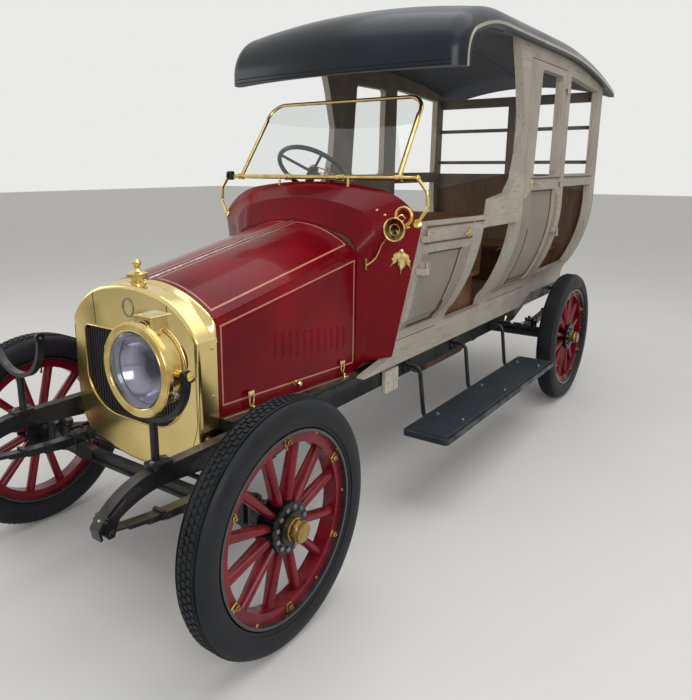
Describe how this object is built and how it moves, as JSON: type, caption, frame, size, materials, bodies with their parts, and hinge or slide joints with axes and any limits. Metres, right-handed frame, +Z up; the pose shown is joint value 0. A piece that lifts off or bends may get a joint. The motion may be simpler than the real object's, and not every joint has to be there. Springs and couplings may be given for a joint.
{
  "type": "brass era car",
  "caption": "Brass era touring car with a half-built open wooden station body, brass radiator, wooden spoke wheels, opening bonnet and doors, and working steering.",
  "frame": {"origin": "on the ground, under the middle of the car's overall box", "axes": "+X to the car's left, +Y to its rear, +Z up"},
  "size_m": [1.64, 4.568, 2.4018],
  "materials": {
    "polished_brass": "polished",
    "crimson_paint": "gloss",
    "black_chassis_paint": "satin",
    "primed_wood": "matt primer",
    "ply_inside": "bare",
    "leathercloth": "gloss",
    "red_wheel_paint": "painted, satin",
    "tyre_rubber": "matt",
    "grey_board_paint": "satin",
    "clear_glass": "clear",
    "lamp_glass": "pale",
    "cast_block": "rough",
    "core_metal": "matt black",
    "varnished_rim": "varnished",
    "steel_exhaust": "dull"
  },
  "bodies": {
    "chassis": {"body_frame_left": "primed_wood", "body_frame_right": "primed_wood", "bonnet_hinge_rod": "black_chassis_paint", "bulkhead": "primed_wood", "engine_block": "cast_block", "exhaust": "steel_exhaust", "floor": "ply_inside", "frame_cross_members": "black_chassis_paint", "frame_rail_left": "black_chassis_paint", "frame_rail_right": "black_chassis_paint", "front_axle": "black_chassis_paint", "front_seat": "ply_inside", "gearbox": "cast_block", "headlamp_forks": "black_chassis_paint", "headlamp_glass": "lamp_glass", "headlamp_left": "polished_brass", "horn": "polished_brass", "leaf_springs": "black_chassis_paint", "radiator_core": "core_metal", "radiator_shell": "polished_brass", "rear_axle": "black_chassis_paint", "rear_seat": "ply_inside", "rear_wall": "primed_wood", "roof": "leathercloth", "running_board_irons": "black_chassis_paint", "running_boards": "grey_board_paint", "scuttle": "crimson_paint", "steering_column": "black_chassis_paint", "windscreen_frame": "polished_brass", "windscreen_glass": "clear_glass"},
    "bonnet_side_left": {"bonnet_side_left": "crimson_paint"},
    "bonnet_side_right": {"bonnet_side_right": "crimson_paint"},
    "bonnet_top_left": {"bonnet_top_left": "crimson_paint"},
    "bonnet_top_right": {"bonnet_top_right": "crimson_paint"},
    "drag_link": {"drag_link": "black_chassis_paint"},
    "drop_arm": {"drop_arm": "black_chassis_paint"},
    "front_door_left": {"front_door_left": "primed_wood"},
    "knuckle_left": {"knuckle_left": "black_chassis_paint"},
    "knuckle_right": {"knuckle_right": "black_chassis_paint"},
    "rear_door_left": {"rear_door_left": "primed_wood"},
    "rear_door_right": {"rear_door_right": "primed_wood"},
    "steering_wheel": {"steering_wheel": "varnished_rim"},
    "track_rod": {"track_rod": "black_chassis_paint"},
    "road_wheel_front_left": {"wheel_front_left": "red_wheel_paint", "tyre_front_left": "tyre_rubber"},
    "road_wheel_front_right": {"wheel_front_right": "red_wheel_paint", "tyre_front_right": "tyre_rubber"},
    "road_wheel_rear_left": {"wheel_rear_left": "red_wheel_paint", "tyre_rear_left": "tyre_rubber"},
    "road_wheel_rear_right": {"wheel_rear_right": "red_wheel_paint", "tyre_rear_right": "tyre_rubber"}
  },
  "joints": [
    {"name": "steer_left", "type": "hinge", "parent": "chassis", "child": "knuckle_left", "pos_m": [0.6, -1.776, 0.44], "axis": [0, 0, 1], "range_deg": [-22, 22]},
    {"name": "steer_right", "type": "hinge", "parent": "chassis", "child": "knuckle_right", "pos_m": [-0.6, -1.776, 0.44], "axis": [0, 0, 1], "range_deg": [-22, 22]},
    {"name": "track_rod_end", "type": "hinge", "parent": "knuckle_left", "child": "track_rod", "pos_m": [0.6, -1.626, 0.4], "axis": [0, 0, 1], "range_deg": [-22, 22]},
    {"name": "drop_arm_shaft", "type": "hinge", "parent": "chassis", "child": "drop_arm", "pos_m": [-0.449, -0.886, 0.615], "axis": [1, 0, 0], "range_deg": [-24, 24]},
    {"name": "drag_link_end", "type": "hinge", "parent": "drop_arm", "child": "drag_link", "pos_m": [-0.472, -0.886, 0.491], "axis": [1, 0, 0], "range_deg": [-24, 24]},
    {"name": "steering_wheel_turn", "type": "hinge", "parent": "chassis", "child": "steering_wheel", "pos_m": [-0.33, -0.176, 1.58], "axis": [0, 0.6277, 0.7784], "range_deg": [-264, 264]},
    {"name": "spin_front_left", "type": "hinge", "parent": "knuckle_left", "child": "road_wheel_front_left", "pos_m": [0.715, -1.776, 0.44], "axis": [1, 0, 0], "continuous": true},
    {"name": "spin_front_right", "type": "hinge", "parent": "knuckle_right", "child": "road_wheel_front_right", "pos_m": [-0.715, -1.776, 0.44], "axis": [1, 0, 0], "continuous": true},
    {"name": "spin_rear_left", "type": "hinge", "parent": "chassis", "child": "road_wheel_rear_left", "pos_m": [0.715, 1.404, 0.44], "axis": [1, 0, 0], "continuous": true},
    {"name": "spin_rear_right", "type": "hinge", "parent": "chassis", "child": "road_wheel_rear_right", "pos_m": [-0.715, 1.404, 0.44], "axis": [1, 0, 0], "continuous": true},
    {"name": "bonnet_top_left_lift", "type": "hinge", "parent": "chassis", "child": "bonnet_top_left", "pos_m": [0, -1.692, 1.186], "axis": [0, -0.9836, -0.1804], "range_deg": [0, 60]},
    {"name": "bonnet_top_right_lift", "type": "hinge", "parent": "chassis", "child": "bonnet_top_right", "pos_m": [0, -1.692, 1.186], "axis": [0, 0.9836, 0.1804], "range_deg": [0, 60]},
    {"name": "bonnet_side_left_fold", "type": "hinge", "parent": "bonnet_top_left", "child": "bonnet_side_left", "pos_m": [0.346, -1.692, 1.076], "axis": [-0.0043, -0.984, -0.1783], "range_deg": [0, 80]},
    {"name": "bonnet_side_right_fold", "type": "hinge", "parent": "bonnet_top_right", "child": "bonnet_side_right", "pos_m": [-0.346, -1.692, 1.076], "axis": [-0.0043, 0.984, 0.1783], "range_deg": [0, 80]},
    {"name": "front_door_left_swing", "type": "hinge", "parent": "chassis", "child": "front_door_left", "pos_m": [0.61952, -0.576, 1.1], "axis": [0, 0, -1], "range_deg": [0, 70]},
    {"name": "rear_door_left_swing", "type": "hinge", "parent": "chassis", "child": "rear_door_left", "pos_m": [0.67, 1.184, 1.5], "axis": [0, 0, 1], "range_deg": [0, 70]},
    {"name": "rear_door_right_swing", "type": "hinge", "parent": "chassis", "child": "rear_door_right", "pos_m": [-0.67, 1.184, 1.5], "axis": [0, 0, -1], "range_deg": [0, 70]}
  ],
  "couplings": [
    {"joint": "steer_right", "follows": "steer_left", "ratio": 1},
    {"joint": "track_rod_end", "follows": "steer_left", "ratio": -1},
    {"joint": "drop_arm_shaft", "follows": "steer_left", "ratio": 1.077},
    {"joint": "drag_link_end", "follows": "steer_left", "ratio": -1.077},
    {"joint": "steering_wheel_turn", "follows": "steer_left", "ratio": 12}
  ]
}
